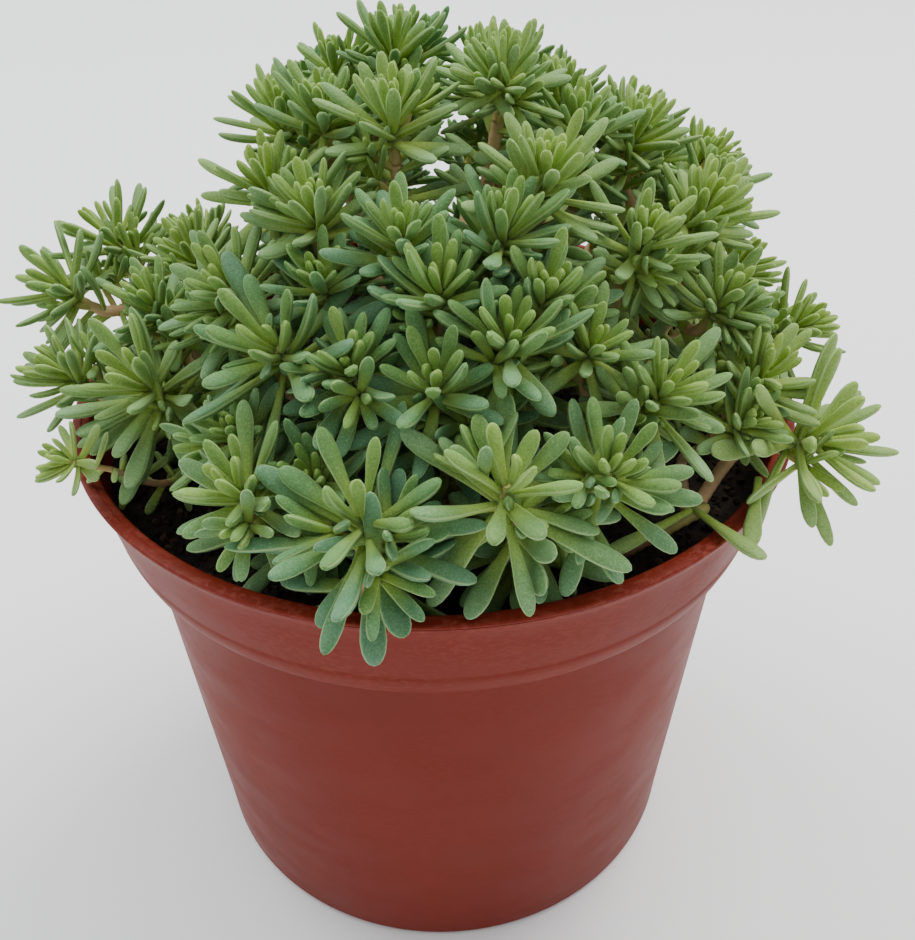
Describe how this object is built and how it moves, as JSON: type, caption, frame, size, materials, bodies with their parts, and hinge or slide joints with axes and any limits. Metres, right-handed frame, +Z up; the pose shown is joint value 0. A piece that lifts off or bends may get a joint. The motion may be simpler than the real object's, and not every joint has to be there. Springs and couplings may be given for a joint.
{
  "type": "potted sedum",
  "caption": "Round mound of fleshy blue-green leaf rosettes on low branching stems, growing out over the rim of a small tapered terracotta-coloured plastic nursery pot.",
  "frame": {"origin": "middle of the pot's underside, on the flat centre pad that it stands on", "axes": "+Z up; -Y is the side that the picture shows in front; +X is the picture's right"},
  "size_m": [0.1146, 0.115, 0.1276],
  "materials": {
    "pot_plastic": "satin",
    "potting_mix": "matte",
    "stem_bark": "matte",
    "leaf_green": "matte"
  },
  "bodies": {
    "root": {"pot": "pot_plastic", "soil": "potting_mix", "stem_front": "stem_bark", "stem_front_left": "stem_bark", "stem_front_right": "stem_bark", "stem_left": "stem_bark", "stem_right": "stem_bark", "stem_middle_left": "stem_bark", "stem_middle_right": "stem_bark", "stem_back_left": "stem_bark", "stem_back_middle": "stem_bark", "stem_back": "stem_bark", "stem_back_right": "stem_bark", "stem_rim_right": "stem_bark", "shoot_01": "leaf_green", "shoot_02": "leaf_green", "shoot_03": "leaf_green", "shoot_04": "leaf_green", "shoot_05": "leaf_green", "shoot_06": "leaf_green", "shoot_07": "leaf_green", "shoot_08": "leaf_green", "shoot_09": "leaf_green", "shoot_10": "leaf_green", "shoot_11": "leaf_green", "shoot_12": "leaf_green", "shoot_13": "leaf_green", "shoot_14": "leaf_green", "shoot_15": "leaf_green", "shoot_16": "leaf_green", "shoot_17": "leaf_green", "shoot_18": "leaf_green", "shoot_19": "leaf_green", "shoot_20": "leaf_green", "shoot_21": "leaf_green", "shoot_22": "leaf_green", "shoot_23": "leaf_green", "shoot_24": "leaf_green", "shoot_25": "leaf_green", "shoot_26": "leaf_green", "shoot_27": "leaf_green", "shoot_28": "leaf_green", "shoot_29": "leaf_green", "shoot_30": "leaf_green", "shoot_31": "leaf_green", "shoot_32": "leaf_green", "shoot_33": "leaf_green", "shoot_34": "leaf_green", "shoot_35": "leaf_green", "shoot_36": "leaf_green", "shoot_37": "leaf_green", "shoot_38": "leaf_green", "shoot_39": "leaf_green", "shoot_40": "leaf_green", "shoot_41": "leaf_green", "shoot_42": "leaf_green", "shoot_43": "leaf_green", "shoot_44": "leaf_green", "shoot_45": "leaf_green"}
  },
  "joints": []
}
